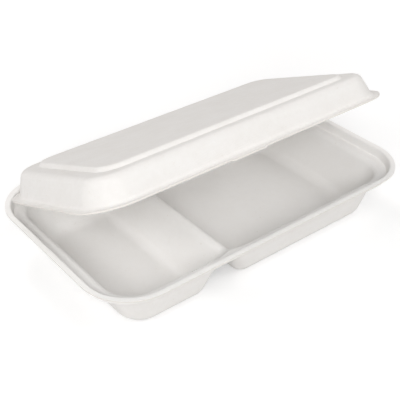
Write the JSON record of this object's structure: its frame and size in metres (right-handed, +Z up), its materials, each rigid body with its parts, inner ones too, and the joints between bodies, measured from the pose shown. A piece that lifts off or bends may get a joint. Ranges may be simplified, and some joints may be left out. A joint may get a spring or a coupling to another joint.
{
  "type": "meal box",
  "caption": "Rectangular moulded pulp meal box with rounded corners, a divided tray with a stepped rim, and a panelled lid hinged along its back.",
  "frame": {"origin": "on the surface the tray stands on, under the centre of the tray's rim outline; it lies on the flat foot of the larger compartment", "axes": "+X along the long side towards the larger compartment's end, +Y from the front edge to the hinge, +Z up"},
  "size_m": [0.24, 0.1452, 0.0957],
  "materials": {
    "pulp": "matte"
  },
  "bodies": {
    "tray": {"base_tray": "pulp"},
    "lid": {"lid": "pulp"}
  },
  "joints": [
    {"name": "lid_hinge", "type": "hinge", "parent": "tray", "child": "lid", "pos_m": [0, 0.0726, 0.03075], "axis": [-1, 0, 0], "range_deg": [-23.8, 156.2]}
  ]
}
